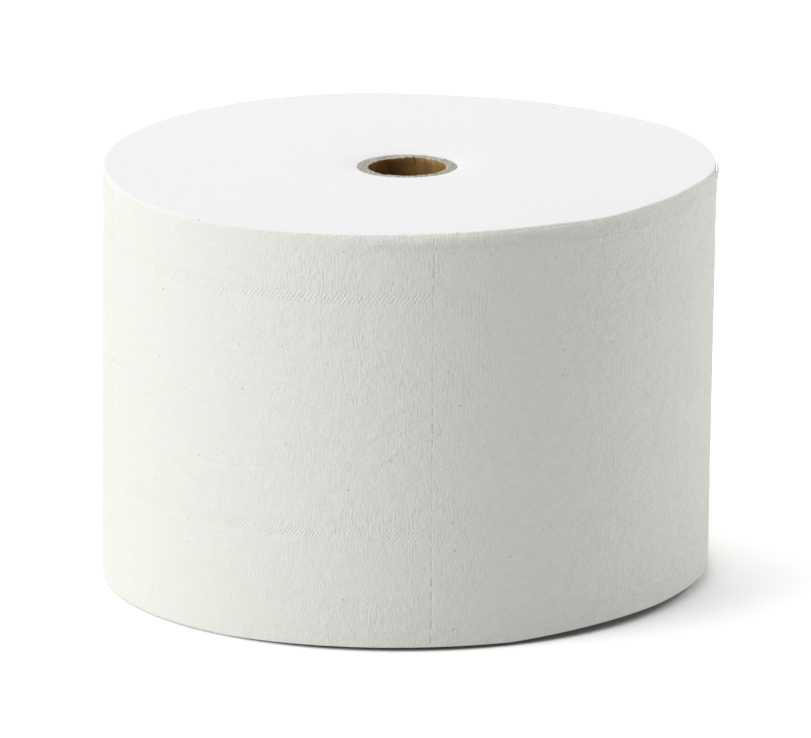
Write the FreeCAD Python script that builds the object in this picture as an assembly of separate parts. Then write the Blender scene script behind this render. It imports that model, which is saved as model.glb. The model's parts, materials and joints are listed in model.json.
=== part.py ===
"""A compact toilet paper roll, standing on end.

Two pieces: the wound tissue, and the narrow paperboard core that it is wound on.
The origin is at the middle of the end that the roll stands on, +Z runs up the core,
and -Y is the side that faces the viewer. All lengths are in millimetres.
"""

import FreeCAD, Part

import math
import os

from FreeCAD import Placement, Rotation, Vector

# The roll as a whole
sheet_width = 92.0          # width of the tissue, which is the height of the roll
roll_diameter = 134.0       # over the outermost turn

# The core
core_bore = 17.0            # diameter of the hole for the holder's spindle
core_wall = 2.5             # thickness of the wound board
core_recess = 1.0           # how far the core stops short of each end of the roll
dish_width = 4.0            # the ends of the winding dip towards the core over this width

# The tissue
sheet_thickness = 0.25      # two plies, as they lie on the outside of the roll
sheet_length = 91.0         # from one line of perforations to the next
rim_width = 1.4             # soft corner of the outer turns, measured along the radius
rim_drop = 0.6              # and measured down the side

# The free end of the outermost turn, which stands off the roll a little
tail_angle = -7.5           # where the sheet ends, counted from +X towards +Y, in degrees
tail_loose_length = 18.0    # how much of the sheet has come loose
tail_gap = 0.6              # how far its end stands off
tail_root_gap = 0.1         # the gap where the sheet leaves the roll

# Lines of perforations across the sheet
slit_length = 2.0
slit_pitch = 3.4
slit_width = 0.3

# Two bands of fine embossing that hold the plies together
upper_band_height = 77.9    # middle of the band, above the standing end
lower_band_height = 25.6
band_width = 2.4
band_depth = 0.1

# The turns that show on both ends, as one line for every few dozen sheets
turn_line_spacing = 8.0
turn_line_width = 0.5
turn_line_depth = 0.25

# The lower corner stands off the table along the front, most at the right
lift_height = 2.2           # at the outside of the roll
lift_start = 30.0           # distance from the core's axis at which the lift begins
lift_angle = -45.0          # the way it faces, counted from +X towards +Y, in degrees

outer_radius = roll_diameter / 2
bore_radius = core_bore / 2
core_radius = bore_radius + core_wall
dish_radius = core_radius + dish_width
clear = 5.0                 # how far cutting shapes reach past what they cut

UP = Vector(0, 0, 1)
AXIS = (Vector(0, 0, 0), UP)


def turned(shape, degrees):
    """The shape turned about the axis of the roll."""
    return shape.rotated(*AXIS, degrees)


def arc(centre, radius, start, end):
    """An arc in the plane of the standing end, from one angle to the next in degrees."""
    return Part.makeCircle(radius, centre, UP, start, end)


def point_at(centre, radius, degrees):
    angle = math.radians(degrees)
    return centre + Vector(radius * math.cos(angle), radius * math.sin(angle), 0)


def spiral_turn(start_radius, pitch):
    """One turn of a spiral as two half circles, each with its own centre and radius.

    The turn starts on +X at start_radius and comes back to +X one pitch further out.
    The half circles meet in line, because their centres lie half a pitch apart.
    """
    first = (Vector(-pitch / 4, 0, 0), start_radius + pitch / 4)
    second = (Vector(pitch / 4, 0, 0), start_radius + 3 * pitch / 4)
    return first, second


def winding_outline(inset=0.0):
    """The wound tissue seen from above, with the loose end of the sheet, as a face.

    An inset makes the same outline smaller all round. The sheet ends on +X here.
    """
    reach = outer_radius - inset
    (first_centre, first_radius), (second_centre, second_radius) = spiral_turn(
        reach - sheet_thickness, sheet_thickness
    )
    loose_angle = math.degrees(tail_loose_length / outer_radius)
    leaves_at = 360 - loose_angle

    # The loose end is an arc that leaves the roll in line with it and opens slowly.
    opening = 1 - math.cos(math.radians(loose_angle))
    loose_radius = second_radius + tail_gap / opening
    loose_centre = point_at(second_centre, second_radius - loose_radius, leaves_at)
    loose_end = leaves_at + math.degrees(tail_loose_length / loose_radius)
    inner_loose_radius = loose_radius - sheet_thickness
    under_radius = second_radius - sheet_thickness - tail_root_gap

    under_start = point_at(second_centre, under_radius, leaves_at)
    under_end = point_at(second_centre, under_radius, 360)
    edges = [
        arc(first_centre, first_radius, 0, 180),
        arc(second_centre, second_radius, 180, leaves_at),
        arc(loose_centre, loose_radius, leaves_at, loose_end),
        Part.makeLine(
            point_at(loose_centre, loose_radius, loose_end),
            point_at(loose_centre, inner_loose_radius, loose_end),
        ),
        arc(loose_centre, inner_loose_radius, leaves_at, loose_end),
        Part.makeLine(point_at(loose_centre, inner_loose_radius, leaves_at), under_start),
        arc(second_centre, under_radius, leaves_at, 360),
        Part.makeLine(under_end, point_at(first_centre, first_radius, 0)),
    ]
    return Part.Face(Part.Wire(Part.__sortEdges__(edges)))


def end_envelope():
    """What the winding has to stay inside: dished ends, soft outer corners, and the core's hole."""
    beyond = outer_radius + tail_gap + clear
    rim_start = outer_radius - rim_width
    one_end = [
        (core_radius, core_recess),
        (dish_radius, 0),
        (rim_start, 0),
        (outer_radius, rim_drop),
        (beyond, rim_drop),
    ]
    other_end = [(radius, sheet_width - depth) for radius, depth in reversed(one_end)]
    corners = [Vector(radius, 0, z) for radius, z in one_end + other_end]
    profile = Part.Face(Part.makePolygon(corners + corners[:1]))
    return profile.revolve(*AXIS, 360)


def turn_lines(end_z, outward):
    """The spiral of V-shaped grooves on one end, as solids to cut away. outward is 1 or -1."""
    half_width = turn_line_width / 2
    last_radius = outer_radius - rim_width - turn_line_spacing
    turns = int((last_radius - dish_radius) / turn_line_spacing)
    # The V goes on above the end at the same slope, so that it cuts cleanly through it.
    flare = half_width * (turn_line_depth + half_width) / turn_line_depth
    grooves = []
    for turn in range(turns):
        start_radius = dish_radius + (turn + 0.5) * turn_line_spacing
        for half, (centre, radius) in enumerate(spiral_turn(start_radius, turn_line_spacing)):
            bottom = Vector(centre.x + radius, 0, end_z - outward * turn_line_depth)
            top_z = end_z + outward * half_width
            corners = [
                bottom,
                Vector(centre.x + radius + flare, 0, top_z),
                Vector(centre.x + radius - flare, 0, top_z),
                bottom,
            ]
            groove = Part.Face(Part.makePolygon(corners)).revolve(centre, UP, 180)
            grooves.append(groove.rotated(centre, UP, half * 180))
    return grooves


def embossed_band(middle_z):
    """A shallow ring to cut away round the outside, as deep as the embossing presses the sheet in."""
    reach = outer_radius + tail_gap + clear
    ring = Part.makeCylinder(reach, band_width, Vector(0, 0, middle_z - band_width / 2))
    kept = winding_outline(band_depth)
    kept.translate(Vector(0, 0, middle_z - band_width / 2))
    return ring.cut(kept.extrude(Vector(0, 0, band_width)))


def perforations():
    """The V-shaped slits of every line of perforations in the outermost turn, as solids to cut away."""
    sheet_angle = math.degrees(sheet_length / outer_radius)
    lines = int(360 / sheet_angle)
    slits = int(sheet_width / slit_pitch)
    first_z = (sheet_width - (slits - 1) * slit_pitch - slit_length) / 2
    # The V reaches through two sheets and widens at the same slope to beyond the roll.
    bottom = outer_radius - 2 * sheet_thickness
    mouth = outer_radius + clear
    half_mouth = slit_width / 2 * (mouth - bottom) / (outer_radius - bottom)
    cuts = []
    for sheet in range(1, lines + 1):
        for slit in range(slits):
            z = first_z + slit * slit_pitch
            corners = [
                Vector(bottom, 0, z),
                Vector(mouth, -half_mouth, z),
                Vector(mouth, half_mouth, z),
                Vector(bottom, 0, z),
            ]
            cut = Part.Face(Part.makePolygon(corners)).extrude(Vector(0, 0, slit_length))
            cuts.append(turned(cut, -sheet * sheet_angle))
    return cuts


def lifted_corner():
    """A wedge to cut away where the lower corner stands off the table."""
    size = 2 * roll_diameter
    slope = math.degrees(math.atan2(lift_height, outer_radius - lift_start))
    wedge = Part.makeBox(size, size, size, Vector(0, -size / 2, -size))
    wedge.Placement = Placement(Vector(lift_start, 0, 0), Rotation(Vector(0, -1, 0), slope))
    return turned(wedge, lift_angle - tail_angle)


def wound_tissue():
    """The tissue, turn on turn, as one solid."""
    winding = winding_outline().extrude(Vector(0, 0, sheet_width))
    winding = winding.common(end_envelope())
    for band_height in (lower_band_height, upper_band_height):
        winding = winding.cut(embossed_band(band_height))
    winding = winding.cut(turn_lines(0, -1))
    winding = winding.cut(turn_lines(sheet_width, 1))
    winding = winding.cut(perforations())
    winding = winding.cut(lifted_corner())
    return turned(winding, tail_angle)


def cardboard_core():
    """The tube of glued board strips."""
    length = sheet_width - 2 * core_recess
    base = Vector(0, 0, core_recess)
    tube = Part.makeCylinder(core_radius, length, base)
    return tube.cut(Part.makeCylinder(bore_radius, length, base))


def save(name, shape):
    """Writes one piece. Cutting leaves a solid in a compound, so it is taken out again."""
    solids = shape.Solids
    piece = solids[0] if len(solids) == 1 else Part.makeCompound(solids)
    print(name, "solids:", len(solids), "sound:", piece.isValid(), "volume:", round(piece.Volume))
    piece.exportStep(os.path.join("parts", name + ".step"))


os.makedirs("parts", exist_ok=True)
save("wound_tissue", wound_tissue())
save("cardboard_core", cardboard_core())
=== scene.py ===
# %% [markdown]
# # A roll of toilet tissue
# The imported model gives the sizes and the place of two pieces: the wound tissue and the
# cardboard core. Here both get the looks of the real thing. Each is drawn again as a
# surface that numpy works out, because a soft roll is never quite round or square, and
# small unevenness is what makes it look like paper rather than plastic.

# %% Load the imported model
import json
import math

import bpy
import numpy as np
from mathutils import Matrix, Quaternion, Vector


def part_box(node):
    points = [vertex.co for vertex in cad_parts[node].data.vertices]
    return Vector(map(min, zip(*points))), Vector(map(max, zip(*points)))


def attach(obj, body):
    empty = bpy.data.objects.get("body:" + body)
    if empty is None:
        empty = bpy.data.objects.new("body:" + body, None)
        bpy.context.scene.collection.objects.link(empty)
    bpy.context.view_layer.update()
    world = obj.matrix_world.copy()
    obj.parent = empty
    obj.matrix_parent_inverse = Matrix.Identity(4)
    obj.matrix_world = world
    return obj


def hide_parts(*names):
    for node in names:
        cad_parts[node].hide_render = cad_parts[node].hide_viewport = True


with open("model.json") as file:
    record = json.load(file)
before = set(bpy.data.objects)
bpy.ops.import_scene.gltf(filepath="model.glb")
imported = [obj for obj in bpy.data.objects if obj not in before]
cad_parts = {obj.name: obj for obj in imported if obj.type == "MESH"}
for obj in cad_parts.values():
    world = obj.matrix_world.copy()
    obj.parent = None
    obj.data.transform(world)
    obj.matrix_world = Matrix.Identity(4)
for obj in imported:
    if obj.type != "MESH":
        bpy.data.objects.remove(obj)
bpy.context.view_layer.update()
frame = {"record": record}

# %% [markdown]
# ## Sizes
# All lengths are in metres. The roll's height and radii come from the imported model, so a
# change there carries over. The finer sizes, such as a sheet's thickness, are measures of
# this kind of tissue.

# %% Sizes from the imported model
mm = 0.001
tissue_low, tissue_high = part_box("wound_tissue")
core_low, core_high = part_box("cardboard_core")
mounts = {mount["name"]: mount for mount in frame["record"]["mounts"]}
height = tissue_high.z - tissue_low.z
sheet_thickness = 0.25 * mm
radius = (tissue_high.y - tissue_low.y + sheet_thickness) / 2
core_radius = (core_high.x - core_low.x) / 2
bore_radius = mounts["core_bore"]["dims"]["r_mm"] * mm
core_bottom, core_top = core_low.z, core_high.z
print("radius", round(radius / mm, 2), "height", round(height / mm, 2), "mm")

# %% Sizes of the tissue
sheet_length = 91.0 * mm
tail_angle = math.radians(-7.5)
tail_length = 15.0 * mm
rng = np.random.default_rng(12)


# %% [markdown]
# ## From numbers to a mesh
# A surface is a grid of points, rows by columns. The faces of a grid follow from the
# numbers of its points, so they come from slices of one array and need no loop. A piece
# that closes on itself joins its last column to the first.

# %% Grids and meshes
def grid_quads(index, closed=True):
    """Quads over a grid of point numbers. closed joins the last column to the first."""
    if closed:
        index = np.column_stack([index, index[:, :1]])
    corners = [index[:-1, :-1], index[:-1, 1:], index[1:, 1:], index[1:, :-1]]
    return np.stack(corners, axis=-1).reshape(-1, 4)


def build_mesh(name, points, quads):
    """A smooth mesh object at the origin, from points in metres and quads of their numbers."""
    mesh = bpy.data.meshes.new(name)
    mesh.vertices.add(len(points))
    mesh.vertices.foreach_set("co", points.astype(np.float32).ravel())
    mesh.loops.add(quads.size)
    mesh.loops.foreach_set("vertex_index", quads.astype(np.int32).ravel())
    mesh.polygons.add(len(quads))
    mesh.polygons.foreach_set("loop_start", np.arange(0, quads.size, 4, dtype=np.int32))
    mesh.polygons.foreach_set("use_smooth", np.ones(len(quads), dtype=bool))
    mesh.update(calc_edges=True)
    piece = bpy.data.objects.new(name, mesh)
    bpy.context.scene.collection.objects.link(piece)
    print(name, "has", 2 * len(quads), "triangles")
    return piece


def add_point_value(piece, name, values):
    """Stores one number for each point, for the finish to read."""
    attribute = piece.data.attributes.new(name, "FLOAT", "POINT")
    attribute.data.foreach_set("value", values.astype(np.float32).ravel())


def add_sheet_map(piece, quads, turns, up, turn_length):
    """A UV map in metres: how far along the outermost turn each corner lies, and how high.

    Where a face joins the last column to the first, its low turns are counted one higher.
    """
    corner_turns = turns.ravel()[quads]
    wraps = np.ptp(corner_turns, axis=1, keepdims=True) > 0.5
    corner_turns = corner_turns + (wraps & (corner_turns < 0.5))
    values = np.stack([corner_turns * turn_length, up.ravel()[quads]], axis=-1)
    sheet_map = piece.data.uv_layers.new(name="sheet")
    sheet_map.data.foreach_set("uv", values.astype(np.float32).ravel())


# %% [markdown]
# ## A soft roll is never square
# The upper rim sits a little higher at the right and at the left back, the roll leans a
# little, and the front of its lower corner stands off the table, most at the right. Every
# piece passes through the same gentle bending, so they stay together.

# %% How the roll has settled
lean = 1.0 * mm
lean_start = 0.39
oval = 0.0014
right_swell, right_width = 0.55 * mm, math.radians(35.0)
core_lean = 0.35
core_reach = 16.0 * mm
rim_sway = 0.65 * mm
lift_reach = 16.0 * mm

# Direction in degrees, distance from the axis at which the lift begins, and its height.
lifts = [(-80.0, 47.0 * mm, 0.72 * mm), (-15.0, 38.4 * mm, 2.35 * mm)]

# Where the upper rim stands up or dips: direction and width in degrees, and rise.
rim_rises = [
    (95.0, 45.0, 0.24 * mm),
    (26.0, 15.0, 0.65 * mm),
    (-22.0, 8.0, 0.5 * mm),
    (-51.0, 9.0, -0.55 * mm),
    (82.0, 14.0, -0.3 * mm),
    (180.0, 20.0, 0.4 * mm),
]
rim_rise_reach = 7.0 * mm


def smooth_step(value):
    """Rises from 0 to 1 with level ends: 3 v squared less 2 v cubed, for v held to 0..1."""
    held = np.clip(value, 0, 1)
    return held * held * (3 - 2 * held)


def settle(x, y, z):
    """Leans the roll sideways with height, sways the upper rim as a saddle, lifts the lower corner.

    The saddle is minus the sine of twice the angle, and grows with the square of the
    radius. Each rise of the rim is a bell round the roll that fades downwards and inwards.
    Each lift is a slope that starts part of the way out, and fades with height. The roll
    bulges at the upper right. The stiff core leans less than the tissue round it.
    """
    share = z / height
    angle = np.arctan2(y, x)
    reach = np.hypot(x, y) / radius
    sway = -rim_sway * np.sin(2 * angle) * reach**2 * share**2
    for direction, width, rise in rim_rises:
        off = (np.degrees(angle) - direction + 180) % 360 - 180
        bell = np.exp(-((off / width) ** 2))
        sway = sway + rise * bell * reach**6 * np.exp((z - height) / rim_rise_reach)
    sideways = lean * (share - lean_start)
    sideways = sideways * (1 - (1 - core_lean) * np.exp(-((reach * radius / core_reach) ** 2)))
    bulge = right_swell * share * np.exp(-((angle / right_width) ** 2)) * reach**4
    sideways = sideways + oval * x + bulge
    lift = 0 * z
    for direction, start, rise in lifts:
        turned = math.radians(direction)
        towards = x * math.cos(turned) + y * math.sin(turned)
        lift = lift + rise * np.maximum(0, towards - start) / (radius - start)
    lift = lift * np.clip(1 - z / lift_reach, 0, 1)
    return np.stack([x + sideways, y, z + sway + lift], axis=-1)


# %% [markdown]
# ## The spiral
# One web of tissue winds outwards turn on turn. Its place on the outermost turn is 0
# where that turn begins, under the loose end, and 1 at the loose end itself. The radius
# grows by one sheet over the turn.

# %% Where the sheet runs
turn_length = 2 * math.pi * radius


def spiral_radius(turn):
    """Radius of the outer face: one sheet less at the start of the last turn, full at its end."""
    return radius - sheet_thickness * (1 - turn)


def turn_angle(turn):
    """Direction from the core's axis, counted from +X towards +Y, in radians."""
    return tail_angle + 2 * math.pi * turn


def turn_at(direction):
    """The turn, from 0 to 1, that lies in a direction given in degrees."""
    return ((math.radians(direction) - tail_angle) / (2 * math.pi)) % 1.0


sheets = np.arange(1, int(turn_length / sheet_length) + 1)
perforation_turns = 1 - sheets * sheet_length / turn_length
print("perforations at", np.degrees(turn_angle(perforation_turns)).round(1), "degrees")

# %% [markdown]
# ## Rows and columns of the wall
# A grid can spend its points where something happens. Columns crowd at the lines of
# perforations, and rows lie at the ends of each slit, so that a slit a third of a
# millimetre wide gets true edges on a sheet more than 400 mm long. One more row just past
# each end keeps the paper between two slits flat, because smooth shading spreads a bend
# over the whole face beside it. Rows also crowd below the rim, where the edge leans in.

# %% Rows and columns
slit_pitch = 3.4 * mm
slit_length = 2.0 * mm
slit_width = 0.34 * mm
slit_end = 0.15 * mm
slit_margin = 0.1 * mm
slit_count = int(height / slit_pitch)
first_slit = (height - (slit_count - 1) * slit_pitch - slit_length) / 2
slit_starts = first_slit + np.arange(slit_count) * slit_pitch

rim_width, rim_drop = 0.5 * mm, 0.4 * mm
foot_width, foot_drop = 0.25 * mm, 0.2 * mm
shoulder_height = 2.4 * mm
corner_rows = 5

in_slit = np.array([
    -slit_margin, 0, slit_end, slit_length - slit_end, slit_length, slit_length + slit_margin,
])
slit_rows = (slit_starts[:, None] + in_slit).ravel()
foot_rows = np.array([0.45, 1.5, 2.1]) * mm
shoulder_rows = height - np.array([4.2, 3.6, 3.0, 2.4, 2.0, 1.6, 1.2, 0.8]) * mm
wall_rows = np.sort(np.concatenate([slit_rows, foot_rows, shoulder_rows]))
wall_rows = wall_rows[(wall_rows > foot_drop) & (wall_rows < height - rim_drop)]
wall_rows = np.concatenate([[foot_drop], wall_rows, [height - rim_drop]])

# Even columns keep clear of each line of slits, by a number of slit widths.
column_spacing = 1.25 * mm
slit_clearance = 1.7
even_turns = np.arange(int(turn_length / column_spacing)) * column_spacing / turn_length
from_slits = np.abs(even_turns[:, None] - perforation_turns).min(axis=1)
even_turns = even_turns[from_slits > slit_clearance * slit_width / turn_length]
beside_slit = slit_width / turn_length * np.array([-1.2, -0.5, -0.2, 0, 0.2, 0.5, 1.2])
slit_turns = (perforation_turns[:, None] + beside_slit).ravel()
all_turns = np.sort(np.concatenate([even_turns, slit_turns]))
print(len(all_turns), "columns and", len(wall_rows), "rows")

# %% [markdown]
# ## The relief of the sheet
# The outermost turn isn't smooth. Two embossed bands are pressed in, the slits of the
# perforations are cut through, and the sheet lies in soft waves with a few dents. Its
# upper edge leans in and its lower edge flares out a little. Each is a function of the
# place on the sheet that gives a depth or height, and all are added up.

# %% Bands, slits, waves and dents
band_heights = np.array([25.6, 77.9]) * mm
band_width = 2.6 * mm
band_depth = 0.07 * mm
slit_depth = 0.3 * mm
wave_height = 0.05 * mm
waves = [(2, 0.4), (3, -0.7), (5, 0.9), (7, -1.3), (11, 1.1)]
wave_phases = rng.uniform(0, 2 * math.pi, len(waves))

# Heights at which the slits are cut deepest, and how deep the others are, as a share.
deep_slits = np.array([5.0, 14.0, 50.0, 83.0]) * mm
deep_reach = 4.0 * mm
shallow_share = 0.35

# Where the upper edge leans in more and the lower one flares: direction, width in degrees, size.
shoulder_everywhere = 0.06 * mm
shoulder_power = 2.2
shoulders = [(-85.0, 16.0, 0.80 * mm), (-58.0, 13.0, 0.55 * mm), (-39.0, 11.0, 0.42 * mm)]
swelling_share, swelling_below, swelling_reach = 0.15, 2.2 * mm, 1.2 * mm
flares = [(-92.0, 14.0, 0.10 * mm), (-70.0, 10.0, 0.06 * mm)]
flare_reach = 1.3 * mm

# Direction in degrees, height, width along the sheet, width up, and how far it stands out.
dents = [
    (-75.6, 1.4, 1.3, 0.8, 0.14),
    (-73.9, 1.0, 0.6, 0.8, -0.12),
    (-90.7, 0.6, 0.8, 0.7, -0.10),
    (-98.0, 45.5, 4.5, 2.2, 0.10),
    (-87.0, 49.5, 2.4, 1.2, 0.16),
    (-106.9, 22.2, 1.6, 1.2, -0.10),
    (-27.4, 64.6, 2.6, 2.2, -0.12),
    (-128.0, 36.8, 5.0, 1.6, 0.10),
    (-70.0, 82.2, 8.0, 1.6, 0.10),
    (-108.0, 81.8, 5.0, 1.8, 0.08),
]


def band_share(up):
    """1 within an embossed band and 0 outside it, with soft edges."""
    off = np.abs(up[..., None] - band_heights).min(axis=-1)
    return 1 - smooth_step((off - 0.4 * band_width) / (0.2 * band_width))


def slit_share(turn, up):
    """Depth of the slits, from 0 to 1: a V across, with short slopes at both ends.

    A bell of the height about each deep place makes some slits deeper than others.
    """
    across = np.abs(turn[..., None] - perforation_turns).min(axis=-1) * turn_length
    within = (up - first_slit) % slit_pitch
    from_end = np.minimum(within, slit_length - within)
    deep = np.exp(-(((up[..., None] - deep_slits) / deep_reach) ** 2)).max(axis=-1)
    uneven = shallow_share + (1 - shallow_share) * deep
    return uneven * np.clip(1 - 2 * across / slit_width, 0, 1) * np.clip(from_end / slit_end, 0, 1)


def soft_waves(turn, up):
    """Low waves of the winding: a few sines round the roll, each drifting with height."""
    total = np.zeros(np.broadcast(turn, up).shape)
    for (count, drift), phase in zip(waves, wave_phases):
        total += np.sin(2 * math.pi * (count * turn + drift * up / height) + phase) / count
    return wave_height * total


def dent_relief(turn, up):
    """Soft dents and swellings: for each, a bell of the distance from its middle."""
    total = np.zeros(np.broadcast(turn, up).shape)
    for direction, middle, width, tall, out in dents:
        along = (turn - turn_at(direction)) * turn_length / (width * mm)
        above = (up - middle * mm) / (tall * mm)
        total += out * mm * np.exp(-(along**2) - above**2)
    return total


def bells(turn, places):
    """Sum of bells round the roll, for places given as direction, width in degrees, and size."""
    total = np.zeros(turn.shape)
    for direction, width, size in places:
        off = ((turn - turn_at(direction) + 0.5) % 1.0 - 0.5) * 360
        total += size * np.exp(-((off / width) ** 2))
    return total


def edge_relief(turn, up):
    """The upper edge leans in and swells out just below that, and the lower edge flares out.

    The lean grows with a power of the way up, and the swelling is a bell of the height.
    """
    way_up = np.clip((up - height + shoulder_height) / shoulder_height, 0, 1)
    soft = bells(turn, shoulders)
    leaning = (shoulder_everywhere + soft) * way_up**shoulder_power
    above = (up - height + swelling_below) / swelling_reach
    swelling = swelling_share * soft * np.exp(-(above**2))
    return bells(turn, flares) * np.exp(-up / flare_reach) + swelling - leaning


def wall_relief(turn, up):
    """What the relief adds to the radius of the wall."""
    pressed = band_depth * band_share(up) + slit_depth * slit_share(turn, up)
    return soft_waves(turn, up) + dent_relief(turn, up) + edge_relief(turn, up) - pressed


# %% [markdown]
# ## The ends of the winding
# Both ends are cut square and dip where the turns meet the core. The dip is a true shape.
# The single turns are far too fine for that, so the finish adds them later as relief.

# %% Depth of an end
dip_depth, dip_reach = 1.0 * mm, 2.6 * mm
end_rings = 32


def end_depth(reach):
    """How deep an end lies at a distance from the axis: it falls off as a power of e."""
    return dip_depth * np.exp(-(reach - core_radius) / dip_reach)


# %% [markdown]
# ## The winding and its loose end
# Seen from above, the outline of the last turn is one closed line. It runs round the
# roll, out along the loose end, round its tip, back along its inner face, and on over the
# turn beneath. Carried up the height, that line gives the wall. Each end is a set of
# rings that run in from the wall to the core, with a strip along the edge of the loose
# end. One mesh for all of it leaves no seam on the smooth white end. At the upper corner
# the sheet has torn past its perforations, and the corner is bent out.

# %% The loose end
tail_columns = 26
tail_root = 1 - tail_length / turn_length
tail_crotch_width = 0.15 * mm
tail_crotch = tail_root + tail_crotch_width / turn_length
tail_gap_low, tail_gap_middle, tail_gap_top = 0.15 * mm, 0.05 * mm, 0.1 * mm
tail_curl_reach = 8.0 * mm
tail_power = 1.8
tail_thickness = 0.2 * mm
torn_corner_length, torn_corner_height = 7.0 * mm, 3.0 * mm
corner_closing = 0.8
tie_length, ragged_height = 0.35 * mm, 0.12 * mm
ragged_long, ragged_short = 1.9 * mm, 0.7 * mm
lip_out, lip_height, lip_width = 0.50 * mm, 1.5 * mm, 5.0 * mm


def tail_opening(run, up):
    """How far the loose end stands off, from the length of sheet that is free there.

    The gap rises smoothly from the lower third to the upper one, and widens at the top.
    Past the perforations the torn corner lies close again. The upper edge bends out into a
    lip, a bell of the run about the line of perforations.
    """
    gap = tail_gap_low + tail_gap_middle * smooth_step(up / height * 2 - 0.6)
    gap = gap + tail_gap_top * np.exp(-(height - up) / tail_curl_reach)
    gap = gap * (1 - corner_closing * smooth_step((run - tail_length) / torn_corner_length))
    lip = lip_out * np.exp(-(((run - tail_length) / lip_width) ** 2) - (height - up) / lip_height)
    free = run / tail_length
    return gap * np.clip(free, 0, 1) ** tail_power + lip * smooth_step(free)


def torn_edge(up):
    """How far the tip stands out past the perforations.

    Short torn ties stand halfway between the slits, the line is ragged, and the torn
    corner grows smoothly over the last few millimetres.
    """
    tie = 0.5 + 0.5 * np.cos(2 * math.pi * (up - first_slit - slit_length / 2) / slit_pitch)
    ragged = ragged_height * np.sin(up / ragged_long) * np.sin(up / ragged_short)
    corner = torn_corner_length * smooth_step(1 - (height - up) / torn_corner_height)
    return tie_length * (1 - tie) + ragged + corner


# %% The wall, the loose end and both ends as one closed mesh
def wall_profile():
    """Height and inset of each row: a small quarter curve at the foot, and a larger one at the rim."""
    bend = np.linspace(0, math.pi / 2, corner_rows)
    foot_up = foot_drop * (1 - np.cos(bend))
    foot_in = foot_width * (1 - np.sin(bend))
    rim_up = height - rim_drop * (1 - np.sin(bend))
    rim_in = rim_width * (1 - np.cos(bend))
    up = np.concatenate([foot_up[:-1], wall_rows, rim_up[1:]])
    inset = np.concatenate([foot_in[:-1], np.zeros(len(wall_rows)), rim_in[1:]])
    return up[:, None], inset[:, None]


def loose_end(up, inset):
    """Turns, heights, and outer and inner radius of the loose end, from its root to its torn tip."""
    share = np.linspace(0, 1, tail_columns + 1)[1:]
    tip = 1 + torn_edge(up) / turn_length
    turn = tail_root + (tip - tail_root) * share
    rounding = 1 - smooth_step(2.5 * share)
    tail_up = up + 0 * share
    run = (turn - tail_root) * turn_length
    outer = spiral_radius(turn) + wall_relief(turn, tail_up)
    outer = outer + tail_opening(run, tail_up) - inset * rounding
    return turn, tail_up, outer, outer - tail_thickness


def rings_to_core(outer_points, outer_turns, end_z):
    """Rings from the wall's end in to the core, as points before settling, with their turns.

    Their spacing follows a smooth step, so they crowd at the rim and at the core.
    """
    share = smooth_step(np.linspace(0, 1, end_rings + 1)[1:, None])
    outer_reach = np.hypot(outer_points[:, 0], outer_points[:, 1])
    reach = outer_reach + (core_radius - outer_reach) * share
    turn = np.broadcast_to(outer_turns, reach.shape)
    angle = turn_angle(turn)
    depth = end_depth(reach)
    z = end_z - depth if end_z > 0 else depth
    return np.stack([reach * np.cos(angle), reach * np.sin(angle), z], axis=-1), turn


def winding_wall(up, inset):
    """The closed outline carried up the height: turns and points, and the columns of two parts.

    It runs along the body, out along the loose end, back along its inner face, and on over
    the turn beneath.
    """
    margin = 0.5 * column_spacing / turn_length
    body = np.append(all_turns[all_turns < tail_root - margin], tail_root)
    under = np.insert(all_turns[all_turns > tail_crotch + margin], 0, tail_crotch)
    tail_turn, tail_up, tail_out, tail_in = loose_end(up, inset)
    body_turn = np.broadcast_to(body, (len(up), len(body)))
    under_turn = np.broadcast_to(under, (len(up), len(under)))
    body_reach = spiral_radius(body_turn) + wall_relief(body_turn, up) - inset
    under_reach = spiral_radius(under_turn) - sheet_thickness + wall_relief(under_turn, up) - inset

    turns = np.hstack([body_turn, tail_turn, tail_turn[:, ::-1], under_turn])
    reach = np.hstack([body_reach, tail_out, tail_in[:, ::-1], under_reach])
    tall = np.hstack([
        np.broadcast_to(up, body_turn.shape),
        tail_up,
        tail_up[:, ::-1],
        np.broadcast_to(up, under_turn.shape),
    ])
    angle = turn_angle(turns)
    points = np.stack([reach * np.cos(angle), reach * np.sin(angle), tall], axis=-1)
    return turns, points, len(body), len(under)


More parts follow.
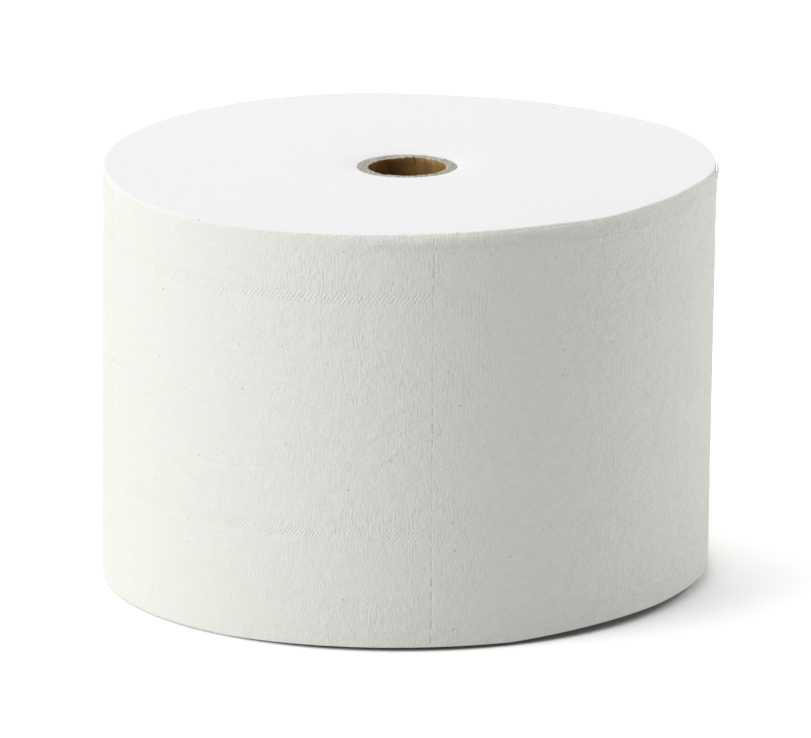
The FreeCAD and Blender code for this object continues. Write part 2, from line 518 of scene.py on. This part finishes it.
def make_winding():
    """The whole winding as one closed mesh: the wall with its loose end, and both ends."""
    up, inset = wall_profile()
    turns, wall, body_columns, under_columns = winding_wall(up, inset)
    rows, columns = turns.shape
    index = np.arange(rows * columns).reshape(rows, columns)

    # Both ends and the wall at the core hang on the columns that aren't part of the loose end.
    loop = np.r_[0:body_columns, columns - under_columns:columns]
    top, top_turn = rings_to_core(wall[-1, loop], turns[0, loop], height)
    base, base_turn = rings_to_core(wall[0, loop], turns[0, loop], 0.0)
    ring_points = np.concatenate([top, base[::-1]])
    ring_turns = np.concatenate([top_turn, base_turn[::-1]])
    ring_index = rows * columns + np.arange(ring_turns.size).reshape(2 * end_rings, -1)
    ring_index = np.vstack([index[-1:, loop], ring_index, index[:1, loop]])

    # Strips close the top and the bottom of the loose end between its two faces.
    out_columns = body_columns - 1 + np.arange(tail_columns + 1)
    in_columns = columns - under_columns - np.arange(tail_columns + 1)
    top_strip = np.stack([index[-1, out_columns], index[-1, in_columns]])
    base_strip = np.stack([index[0, in_columns], index[0, out_columns]])

    points = np.concatenate([wall.reshape(-1, 3), ring_points.reshape(-1, 3)])
    quads = np.concatenate([
        grid_quads(index),
        grid_quads(ring_index),
        grid_quads(top_strip, closed=False),
        grid_quads(base_strip, closed=False),
    ])
    piece = build_mesh("winding", settle(*points.T), quads)
    all_turn = np.concatenate([turns.ravel(), ring_turns.ravel()])
    add_sheet_map(piece, quads, all_turn, points[:, 2], turn_length)

    # The finish blends from the side to the end along the curve of the rim.
    rounded = np.clip((inset / rim_width) ** 0.5, 0, 1)
    end_face = np.concatenate([
        np.broadcast_to(rounded, turns.shape).ravel(),
        np.ones(ring_turns.size),
    ])
    add_point_value(piece, "end_face", end_face)
    return piece


winding = make_winding()

# %% [markdown]
# ## The cardboard core
# The tube is wound from strips of board, glued one over the other. Its cut end shows the
# plies as rings, and the saw has torn the inner ply up at the back. Down the bore runs
# the seam of the innermost strip, a shallow spiral groove.

# %% The core
core_columns, cut_rows = 256, 20
core_clearance = 0.02 * mm
ply_count = 3
ply_groove = 0.12 * mm
bore_rows = 100
seam_pitch, seam_width, seam_depth = 62.0 * mm, 0.9 * mm, 0.22 * mm
torn_from, torn_to, torn_blend = math.radians(5.0), math.radians(100.0), 0.2
flap_at, flap_width = math.radians(56.0), math.radians(9.0)
flap_in_bore, flap_fade = 0.3, 200
tear_counts = (5, 14, 23, 37, 51, 64)
tear_phases = rng.uniform(0, 2 * math.pi, len(tear_counts))
tear_inward, tear_upward = 0.3 * mm, 0.55 * mm


def tear(angle):
    """How ragged the inner edge is, from 0 to 1: sines of the angle, between two directions."""
    within = smooth_step((angle - torn_from) / torn_blend) * smooth_step((torn_to - angle) / torn_blend)
    rough = np.zeros(angle.shape)
    for count, phase in zip(tear_counts, tear_phases):
        rough += np.sin(count * angle + phase) / 2.4
    return within * np.clip(0.4 + 0.5 * rough, 0, 1.3)


def cut_end(angle, across):
    """Distance from the axis and height of the cut end, from its outer edge to its inner one.

    It has a groove between plies, saw marks as two sines, the torn edge, and blunt corners.
    """
    groove = ply_groove * np.abs(np.cos(math.pi * ply_count * across)) ** 12
    cut = 0.05 * mm * np.sin(9 * angle + 14 * across) + 0.04 * mm * np.sin(23 * angle - 9 * across)
    torn = tear(angle) * across**6
    blunt = 0.25 * mm * (1 - smooth_step(5 * across))
    reach = core_radius - (core_radius - bore_radius) * across - tear_inward * torn
    z = core_top - groove + cut + tear_upward * torn
    return reach, z - blunt - 0.2 * mm * across**8


def bore_wall(angle, down):
    """Distance from the axis and height of the bore, from the top down.

    The seam lies where the angle follows the height, and the torn edge fades downwards.
    """
    z = core_top - 0.35 * mm - (core_top - core_bottom - 0.5 * mm) * down
    along = ((angle + 2 * math.pi * z / seam_pitch) / (2 * math.pi) + 0.5) % 1.0 - 0.5
    seam = np.clip(1 - np.abs(along) * seam_pitch / seam_width, 0, 1)
    lip = tear(angle) * np.exp(-down * (core_top - core_bottom) / (0.5 * mm))
    return bore_radius + seam_depth * seam - 0.35 * mm * lip, z + 0.6 * mm * lip


def make_core():
    """The tube as one closed grid: outer wall, cut end, bore, and the plain lower end."""
    angle = -math.pi + 2 * math.pi * np.arange(core_columns) / core_columns
    across = np.linspace(0, 1, cut_rows + 2)[1:-1, None]
    inward = across[::-1]
    down = np.linspace(0, 1, bore_rows)[:, None]
    wall_z = np.array([core_bottom + 0.2 * mm, core_top - 0.4 * mm])[:, None] + 0 * angle
    wall_reach = core_radius - core_clearance + 0 * wall_z
    top_reach, top_z = cut_end(angle, across)
    bore_reach, bore_z = bore_wall(angle, down)
    base_reach = core_radius - (core_radius - bore_radius) * inward + 0 * angle
    base_z = core_bottom + ply_groove * np.abs(np.cos(math.pi * ply_count * inward)) ** 12
    base_z = base_z + 0 * angle

    reach = np.vstack([wall_reach, top_reach, bore_reach, base_reach])
    z = np.vstack([wall_z, top_z, bore_z, base_z])
    index = np.arange(z.size).reshape(z.shape)
    index = np.vstack([index, index[:1]])
    x, y = reach * np.cos(angle), reach * np.sin(angle)
    piece = build_mesh("core_tube", settle(x, y, z).reshape(-1, 3), grid_quads(index))

    # Values for the finish: the way across the cut end, the bore, and the torn flap.
    cut_share = np.zeros(z.shape)
    cut_share[2:2 + cut_rows] = across
    cut_share[-cut_rows:] = inward
    bore_share = np.zeros(z.shape)
    bore_share[2 + cut_rows:-cut_rows] = 1
    flap = np.exp(-(((angle - flap_at) / flap_width) ** 2))
    bore_flap = flap_in_bore * flap * np.exp(-down * flap_fade)
    add_point_value(piece, "across_cut", cut_share)
    add_point_value(piece, "in_bore", bore_share)
    add_point_value(piece, "torn", np.vstack([0 * wall_z, flap * across**3, bore_flap, 0 * base_z]))
    return piece


core_tube = make_core()

# %% [markdown]
# ## Shader maths as plain expressions
# A finish is mostly arithmetic on textures. The class below wraps a socket, so that
# `1 - mask * 0.5` adds the Math nodes it needs. Every other node comes from one method,
# which sets the node up before it fills its sockets.

# %% A wrapped socket and a workbench for finishes
class Number:
    """A value that varies over a surface. Operators on it add Math nodes."""

    def __init__(self, finish, socket):
        self.finish = finish
        self.socket = socket

    def math(self, operation, *values, clamp=False):
        settings = {"operation": operation, "use_clamp": clamp}
        made = self.finish.node("ShaderNodeMath", settings, dict(enumerate(values)))
        return Number(self.finish, made.outputs[0])

    def __add__(self, other):
        return self.math("ADD", self, other)

    def __sub__(self, other):
        return self.math("SUBTRACT", self, other)

    def __rsub__(self, other):
        return self.math("SUBTRACT", other, self)

    def __mul__(self, other):
        return self.math("MULTIPLY", self, other)

    def __truediv__(self, other):
        return self.math("DIVIDE", self, other)

    def __pow__(self, other):
        return self.math("POWER", self, other)

    __radd__ = __add__
    __rmul__ = __mul__

    def abs(self):
        return self.math("ABSOLUTE", self)

    def sin(self):
        return self.math("SINE", self)

    def least(self, other):
        return self.math("MINIMUM", self, other)

    def held(self):
        return self.math("ADD", self, 0.0, clamp=True)

    def step(self, low, high):
        """0 below low, 1 above high, and smooth between them."""
        settings = {"interpolation_type": "SMOOTHSTEP"}
        sockets = {"Value": self, "From Min": low, "From Max": high}
        made = self.finish.node("ShaderNodeMapRange", settings, sockets)
        return Number(self.finish, made.outputs["Result"])


def new_material(name):
    """A material with no nodes yet."""
    material = bpy.data.materials.new(name)
    material.use_nodes = True
    material.node_tree.nodes.clear()
    return material


class Finish:
    """The nodes of a material or of the world, under construction."""

    def __init__(self, tree):
        self.tree = tree

    def node(self, kind, settings=None, sockets=None):
        made = self.tree.nodes.new(kind)
        for name, value in (settings or {}).items():
            setattr(made, name, value)
        for name, value in (sockets or {}).items():
            if isinstance(value, Number):
                value = value.socket
            if isinstance(value, bpy.types.NodeSocket):
                self.tree.links.new(value, made.inputs[name])
            else:
                made.inputs[name].default_value = value
        return made

    def attribute(self, name):
        made = self.node("ShaderNodeAttribute", {"attribute_name": name})
        return Number(self, made.outputs["Fac"])

    def split(self, vector):
        made = self.node("ShaderNodeSeparateXYZ", None, {0: vector})
        return [Number(self, output) for output in made.outputs]

    def join(self, x, y, z=0.0):
        return self.node("ShaderNodeCombineXYZ", None, {0: x, 1: y, 2: z}).outputs[0]

    def noise(self, vector, detail=2.0, roughness=0.5, dimensions="3D"):
        sockets = {"Vector": vector, "Scale": 1.0, "Detail": detail, "Roughness": roughness}
        made = self.node("ShaderNodeTexNoise", {"noise_dimensions": dimensions}, sockets)
        return Number(self, made.outputs[0])

    def spots(self, x, y, cell, near, far):
        """Spots scattered one to a cell, in mm, each with a strength of its own between 0 and 1."""
        sockets = {"Vector": self.join(x / cell, y / cell), "Scale": 1.0}
        made = self.node("ShaderNodeTexVoronoi", {"voronoi_dimensions": "2D"}, sockets)
        distance = Number(self, made.outputs["Distance"]) * cell
        strength, unused, unused = self.split(made.outputs["Color"])
        return (1 - distance.step(near, far)) * strength

    def mix(self, factor, first, second):
        """Blends two colours."""
        sockets = {0: factor, 6: first, 7: second}
        return self.node("ShaderNodeMix", {"data_type": "RGBA"}, sockets).outputs[2]

    def surface(self, colour, relief, **constants):
        """Ends the material: the relief is in millimetres."""
        bump = self.node("ShaderNodeBump", None, {"Distance": mm, "Height": relief})
        sockets = {"Base Color": colour, "Normal": bump.outputs[0], **constants}
        shader = self.node("ShaderNodeBsdfPrincipled", None, sockets)
        self.node("ShaderNodeOutputMaterial", None, {0: shader.outputs[0]})


# %% [markdown]
# ## Tissue
# Soft creped paper is matt and nearly white, with a trace of yellow. Fine upright creases
# from the creping knife cross it in patches, loose fibres roughen it, and the recycled
# pulp shows as dark specks. The embossed bands hold slanted strokes. All of this follows
# the sheet's own map in millimetres, so that it runs round the roll with the paper and
# keeps its size. A picture could do the same, but it would blur or repeat.

# %% Fine marks of the outer sheet
speck_cell, faint_speck_cell = 12.0, 6.1
line_spacing, line_width = 8.0, 1.8

# Strokes of the lower and the upper band, in mm.
stroke_height, stroke_slope = 0.03, 0.72
stroke_pitches, stroke_widths = (0.84, 1.0), (1.25, 1.4)
band_middles = band_heights / mm

# Heights of the relief, in mm: of the side, and then of the ends.
creping_height, fibre_height, mottle_height = 0.11, 0.085, 0.22
ring_height, fluff_height, broad_ring_height, line_depth = 0.07, 0.08, 0.05, 0.01

# Colours from dark to light, with the speck's.
wall_tones = ((0.855, 0.86, 0.803, 1), (0.93, 0.935, 0.882, 1))
end_tones = ((0.886, 0.886, 0.886, 1), (0.901, 0.901, 0.901, 1))
speck_tone = (0.36, 0.34, 0.30, 1)

# The sheet is handled more from the first direction to the second, towards its loose end.
handled_from, handled_to = -165.0, -30.0

# A faint line of painted shade below the rim that fades in between two directions: height, reach and
# share.
rim_shade_from, rim_shade_to = -108.0, -90.0
rim_shade_height, rim_shade_reach, rim_shade_share = 88.9, 1.2, 0.05

# Marks on the upper end: place, half width, and how dark, in mm from the axis.
end_marks = [(33.2, 53.4, 0.7, 0.30), (9.6, 33.0, 0.5, -0.25), (18.6, 36.8, 0.35, 0.35)]

# Each crease is a line of (direction in degrees, height in mm), with its half width and height.
creases = [
    ([(-97.0, 89.3), (-91.0, 89.3), (-80.0, 89.2), (-70.0, 88.9)], 0.60, -0.12),
    ([(-112.8, 82.9), (-103.0, 83.1)], 0.30, -0.06),
    ([(-76.2, 83.2), (-64.7, 83.4), (-53.8, 84.2), (-50.7, 84.4)], 0.50, 0.04),
    ([(-89.8, 50.2), (-89.2, 50.9), (-85.6, 51.3), (-84.5, 50.6), (-83.9, 48.4)], 0.26, 0.10),
    ([(-91.7, 48.2), (-87.6, 50.6), (-84.7, 54.2)], 0.28, 0.05),
    ([(-131.0, 38.6), (-125.5, 38.2), (-119.4, 38.9), (-117.1, 39.3)], 0.28, -0.06),
    ([(-135.1, 34.3), (-132.5, 33.6)], 0.28, -0.08),
    ([(-133.7, 32.9), (-130.9, 32.7)], 0.30, 0.06),
]


def along_at(direction):
    """How far along the outermost turn a direction in degrees lies, in mm."""
    return turn_at(direction) * turn_length / mm


def crease_relief(along, up):
    """Sum of the creases: for each, the distance to the nearest of its straight stretches."""
    total = None
    for line, half_width, rise in creases:
        places = [(along_at(direction), level) for direction, level in line]
        nearest = None
        for (x0, y0), (x1, y1) in zip(places, places[1:]):
            span_x, span_y = x1 - x0, y1 - y0
            size = span_x**2 + span_y**2
            share = ((along - x0) * (span_x / size) + (up - y0) * (span_y / size)).held()
            off = (along - x0 - share * span_x) ** 2 + (up - y0 - share * span_y) ** 2
            nearest = off if nearest is None else nearest.least(off)
        ridge = (1 - nearest ** 0.5 / half_width).held() * rise
        total = ridge if total is None else total + ridge
    return total


def band_strokes(finish, along, up):
    """Slanted strokes in both bands: a sine across them, with crossing strokes in patches."""
    patch = finish.noise(finish.join(along / 13.0, up / 30.0), dimensions="2D")
    total = None
    for middle, pitch, width in zip(band_middles, stroke_pitches, stroke_widths):
        within = 1 - (up - middle).abs().step(0.7 * width, 1.2 * width)
        rising = (2 * math.pi / pitch * (along - (up - middle) * stroke_slope)).sin()
        falling = (2 * math.pi / pitch * (along + (up - middle) * stroke_slope)).sin()
        strokes = rising * (0.4 + patch.step(0.3, 0.6) * 0.6) + falling * patch.step(0.42, 0.62) * 0.6
        strokes = within * strokes
        total = strokes if total is None else total + strokes
    return total * stroke_height


def sheet_texture(finish, along, up, handled):
    """Relief of the side, with the fibres and the mottle that its tone uses too.

    Upright creping comes in patches, and is rougher where the paper was handled.
    """
    patches = finish.noise(finish.join(along / 14.0, up / 11.0), 3.0, 0.6, "2D")
    creping = finish.noise(finish.join(along / 0.42, up / 1.9), 1.5, 0.45, "2D")
    fibres = finish.noise(finish.join(along / 0.55, up / 0.55), 3.0, 0.6, "2D")
    mottle = finish.noise(finish.join(along / 3.4, up / 2.2), 3.0, 0.55, "2D")
    relief = creping * (0.5 + patches.step(0.35, 0.7) * 0.7) * creping_height
    relief = relief + fibres * fibre_height + mottle * mottle_height
    relief = relief * (0.7 + handled * 0.75 + handled**2 * 0.4)
    relief = relief + band_strokes(finish, along, up) + crease_relief(along, up)
    return relief, fibres, mottle


def end_texture(finish, x, y, z):
    """Relief of the ends, with the fluff that their tone uses too.

    The cut edges of the turns are fine and broad rings, broken up by fibres, with a shallow
    spiral line for every few dozen sheets.
    """
    reach = (x ** 2 + y ** 2) ** 0.5
    turn = y.math("ARCTAN2", y, x) / (2 * math.pi)
    spiral = reach / line_spacing - turn
    from_line = (spiral.math("FRACT", spiral) - 0.5).abs()
    line = (1 - from_line * (2 * line_spacing / line_width)).held()
    broad_rings = finish.noise(finish.join(reach / 2.6, x / 40.0, y / 40.0), 2.0, 0.5)
    rings = finish.noise(finish.join(reach / 0.30, x / 14.0, y / 14.0), 2.0, 0.6)
    fluff = finish.noise(finish.join(x / 0.6, y / 0.6, z / 0.6), 3.0, 0.6)
    relief = rings * ring_height + fluff * fluff_height + broad_rings * broad_ring_height
    return relief - line * line_depth, fluff


def marks(finish, along, up, side, top_side, x, y):
    """How dark the specks of the pulp, the painted shade below the rim and the marks on the upper end
    are.
    """
    dark_specks = finish.spots(along, up, speck_cell, 0.12, 0.34) ** 1.5
    faint_specks = finish.spots(along, up, faint_speck_cell, 0.1, 0.45)
    total = side * (dark_specks * 0.55 + faint_specks * 0.10)
    # Painted shade: a faint dark line below the rim, at the front and the right.
    rim_shade = along.step(along_at(rim_shade_from), along_at(rim_shade_to))
    from_line = (up - rim_shade_height).abs() / rim_shade_reach
    total = total + side * rim_shade * (1 - from_line).held() * rim_shade_share
    for mark_x, mark_y, half_width, dark in end_marks:
        off = ((x - mark_x) ** 2 + (y - mark_y) ** 2) ** 0.5
        total = total + (1 - off.step(0.3 * half_width, half_width)) * top_side * dark
    return total.held()


def tissue_finish():
    material = new_material("soft white tissue")
    finish = Finish(material.node_tree)
    sheet_map = finish.node("ShaderNodeUVMap", {"uv_map": "sheet"})
    metres_along, metres_up, unused = finish.split(sheet_map.outputs[0])
    along, up = metres_along / mm, metres_up / mm
    place = finish.node("ShaderNodeTexCoord").outputs["Object"]
    x, y, z = [value / mm for value in finish.split(place)]
    end_face = finish.attribute("end_face").step(0.35, 0.95)
    side = 1 - end_face
    handled = along.step(along_at(handled_from), along_at(handled_to))
    side_relief, fibres, mottle = sheet_texture(finish, along, up, handled)
    end_relief, fluff = end_texture(finish, x, y, z)
    specks = marks(finish, along, up, side, z.step(40.0, 60.0) * end_face, x, y)

    # Soft blotches of tone, and a trace of yellow on the side alone.
    streaks = finish.noise(finish.join(along / 0.5, up / 3.2), 2.0, 0.5, "2D")
    shade = (mottle - 0.5) * 0.5 + (fibres - 0.5) * 0.35 + (streaks - 0.5) * 0.35
    shade = shade * (0.45 + handled)
    wall_tone = finish.mix((0.5 + shade).held(), *wall_tones)
    end_tone = finish.mix(fluff.step(0.2, 0.8), *end_tones)
    tone = finish.mix(end_face, wall_tone, end_tone)
    colour = finish.mix(specks, tone, speck_tone)
    relief = side * side_relief + end_face * end_relief
    finish.surface(colour, relief, **{"Roughness": 0.95, "Specular IOR Level": 0.15})
    return material


# %% [markdown]
# ## Cardboard
# The core is grey recycled board outside and on its cut end, and kraft brown in the bore.
# The saw leaves the cut end paler at its inner edge, where fibres are torn up. Numbers
# stored on the points say where the cut end, the bore and the torn flap are.

# %% Cardboard finish
def cardboard_finish():
    material = new_material("recycled cardboard")
    finish = Finish(material.node_tree)
    place = finish.node("ShaderNodeTexCoord").outputs["Object"]
    x, y, z = [value / mm for value in finish.split(place)]
    across = finish.attribute("across_cut")
    in_bore = finish.attribute("in_bore").step(0.4, 0.6)
    torn = finish.attribute("torn")
    fibres = finish.noise(finish.join(x / 0.7, y / 0.7, z / 1.6), 4.0, 0.65)
    blotches = finish.noise(finish.join(x / 2.6, y / 2.6, z / 5.0), 2.0, 0.5)
    grey = finish.mix(fibres.step(0.36, 0.66), (0.27, 0.26, 0.225, 1), (0.62, 0.575, 0.485, 1))
    edge = (1 - across).step(0.72, 1.0)
    cut = finish.mix(edge * 0.6, grey, (0.24, 0.24, 0.22, 1))
    pale = across.step(0.7, 0.98) * 0.6 + torn
    cut = finish.mix(pale.held(), cut, (0.66, 0.56, 0.40, 1))
    # The bore is painted darker at the left, as painted shade, and lighter at the right, as painted
    # light.
    shaded_kraft = finish.mix(blotches.step(0.3, 0.7), (0.11, 0.045, 0.006, 1), (0.2, 0.09, 0.02, 1))
    lit_kraft = finish.mix(blotches.step(0.3, 0.7), (0.33, 0.18, 0.05, 1), (0.45, 0.28, 0.1, 1))
    kraft = finish.mix(x.step(-5.0, 8.0), shaded_kraft, lit_kraft)
    bore = finish.mix(torn.held(), kraft, (0.76, 0.63, 0.44, 1))
    colour = finish.mix(in_bore, cut, bore)
    relief = fibres * 0.16 + blotches * 0.05
    finish.surface(colour, relief, **{"Roughness": 0.85, "Specular IOR Level": 0.25})
    return material


# %% Dress the pieces
tissue = tissue_finish()
cardboard = cardboard_finish()
for piece, finish, slot, node in (
    (winding, tissue, "tissue", "wound_tissue"),
    (core_tube, cardboard, "cardboard", "cardboard_core"),
):
    piece.data.materials.append(finish)
    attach(piece, "root")
    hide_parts(node)

# %% [markdown]
# ## The floor
# The floor is a plain pale disc. For the camera alone it is brighter than white, as a
# sheet of lit paper is in a product photograph. The roll's shadow then shows only where
# it is deep, close to the roll, and the roll itself gets no more light from it. Under the
# roll the disc is painted a plain grey, a painted shadow, so that the line where they meet stays dark.

# %% Floor
floor_radius = 4.0
floor_rings, floor_columns = 11, 64
plain_brightness = 0.81
floor_brightness = 1.33
painted_shadow_brightness = 0.42

# The painted shadow under the roll, a darker disc, in mm: its middle, and where it starts and stops to
# fade.
contact_x, contact_y = -1.3, -2.3
contact_inner, contact_outer = 63.6, 66.8


def make_floor():
    """A disc: rings whose radius grows with the square of their number."""
    angle = 2 * math.pi * np.arange(floor_columns) / floor_columns
    reach = floor_radius * np.linspace(0, 1, floor_rings + 1)[1:, None] ** 2
    x, y = reach * np.cos(angle), reach * np.sin(angle)
    rings = np.stack([x, y, 0 * x], axis=-1).reshape(-1, 3)
    index = np.arange(x.size).reshape(x.shape)[::-1]
    quads = grid_quads(index)
    mesh = bpy.data.meshes.new("floor")
    middle = [tuple(int(point) for point in index[-1])]
    mesh.from_pydata(rings.tolist(), [], quads.tolist() + middle)
    piece = bpy.data.objects.new("floor", mesh)
    bpy.context.scene.collection.objects.link(piece)
    return piece


def seen_directly(finish):
    """1 for rays from the camera, and for those that gloss or glass passes on."""
    paths = finish.node("ShaderNodeLightPath")
    kinds = ("Is Camera Ray", "Is Glossy Ray", "Is Transmission Ray")
    camera_ray, glossy_ray, passed_ray = [Number(finish, paths.outputs[kind]) for kind in kinds]
    return (camera_ray + glossy_ray + passed_ray).held()


def floor_finish():
    material = new_material("pale floor")
    finish = Finish(material.node_tree)
    seen = seen_directly(finish)
    place = finish.node("ShaderNodeTexCoord").outputs["Object"]
    x, y, unused = [value / mm for value in finish.split(place)]
    from_roll = ((x - contact_x) ** 2 + (y - contact_y) ** 2) ** 0.5
    plain, bright, painted_shadow = [
        finish.node("ShaderNodeBsdfDiffuse", None, {"Color": (level, level, level, 1)}).outputs[0]
        for level in (plain_brightness, floor_brightness, painted_shadow_brightness)
    ]
    # Under the roll the camera sees a grey disc: a painted shadow that fades out just past the roll's
    # edge.
    sockets = {0: from_roll.step(contact_inner, contact_outer), 1: painted_shadow, 2: bright}
    shown = finish.node("ShaderNodeMixShader", None, sockets).outputs[0]
    mixed = finish.node("ShaderNodeMixShader", None, {0: seen, 1: plain, 2: shown})
    finish.node("ShaderNodeOutputMaterial", None, {0: mixed.outputs[0]})
    return material


floor = make_floor()
floor.data.materials.append(floor_finish())

# %% [markdown]
# ## Light
# A low lamp and a higher one at the left light that side most, and one straight above
# lights the upper end and the floor. Two weak lamps, behind and low at the right, lift the
# far edges. The world fills in the rest.

# %% Lamps and world
aim = Vector((0, 0, height / 2))
fill_strength, backdrop_strength = 0.31, 1.0


def soft_lamp(name, azimuth, elevation, distance, size, power):
    """A square lamp that faces the roll. Azimuth is counted from +X towards +Y, in degrees."""
    turn, rise = math.radians(azimuth), math.radians(elevation)
    way = Vector((math.cos(turn) * math.cos(rise), math.sin(turn) * math.cos(rise), math.sin(rise)))
    data = bpy.data.lights.new(name, "AREA")
    data.shape = "SQUARE"
    data.size = size
    data.energy = power
    lamp = bpy.data.objects.new(name, data)
    lamp.location = aim + way * distance
    lamp.rotation_mode = "QUATERNION"
    lamp.rotation_quaternion = (-way).to_track_quat("-Z", "Y")
    bpy.context.scene.collection.objects.link(lamp)
    return lamp


soft_lamp("low left lamp", 195, 8, 1.6, 0.9, 8.5)
soft_lamp("high left lamp", 205, 45, 1.6, 0.9, 7.6)
soft_lamp("top lamp", 180, 85, 1.6, 0.9, 6.4)
soft_lamp("back lamp", 110, 55, 0.9, 0.5, 1.38)
soft_lamp("right lamp", 20, 18, 0.8, 0.5, 1.9)

world = bpy.data.worlds.new("studio")
bpy.context.scene.world = world
world.use_nodes = True
world.node_tree.nodes.clear()
room = Finish(world.node_tree)
fill, backdrop = [
    room.node("ShaderNodeBackground", None, {"Color": (1, 1, 1, 1), "Strength": strength}).outputs[0]
    for strength in (fill_strength, backdrop_strength)
]
seen_world = room.node("ShaderNodeMixShader", None, {0: seen_directly(room), 1: fill, 2: backdrop})
room.node("ShaderNodeOutputWorld", None, {0: seen_world.outputs[0]})

# %% [markdown]
# ## The camera
# A long lens a little over two metres away looks down by about fifteen degrees. These
# values come from fitting both rims and the sides of the roll to the photograph.

# %% Camera
frame_width = 811
focal_pixels = 9731.2
camera_distance = 2142.65 * mm
look_down = math.radians(14.652)
camera_roll = math.radians(0.1654)
shift_right, shift_up = -0.17 * mm, -0.892 * mm

camera_data = bpy.data.cameras.new("camera")
camera_data.sensor_fit = "HORIZONTAL"
camera_data.sensor_width = 36.0
camera_data.lens = focal_pixels * camera_data.sensor_width / frame_width
camera_data.clip_start, camera_data.clip_end = 0.05, 20.0
camera = bpy.data.objects.new("camera", camera_data)
view_up = Vector((0, math.sin(look_down), math.cos(look_down)))
view_forward = Vector((0, math.cos(look_down), -math.sin(look_down)))
middle = Vector((shift_right, 0, height / 2))
camera.location = middle + shift_up * view_up - camera_distance * view_forward
camera.rotation_mode = "QUATERNION"
tilt = Quaternion((1, 0, 0), math.pi / 2 - look_down)
camera.rotation_quaternion = tilt @ Quaternion((0, 0, 1), -camera_roll)
bpy.context.scene.collection.objects.link(camera)
bpy.context.scene.camera = camera
bpy.context.scene.view_settings.view_transform = "Standard"
print("camera at", [round(value, 4) for value in camera.location])
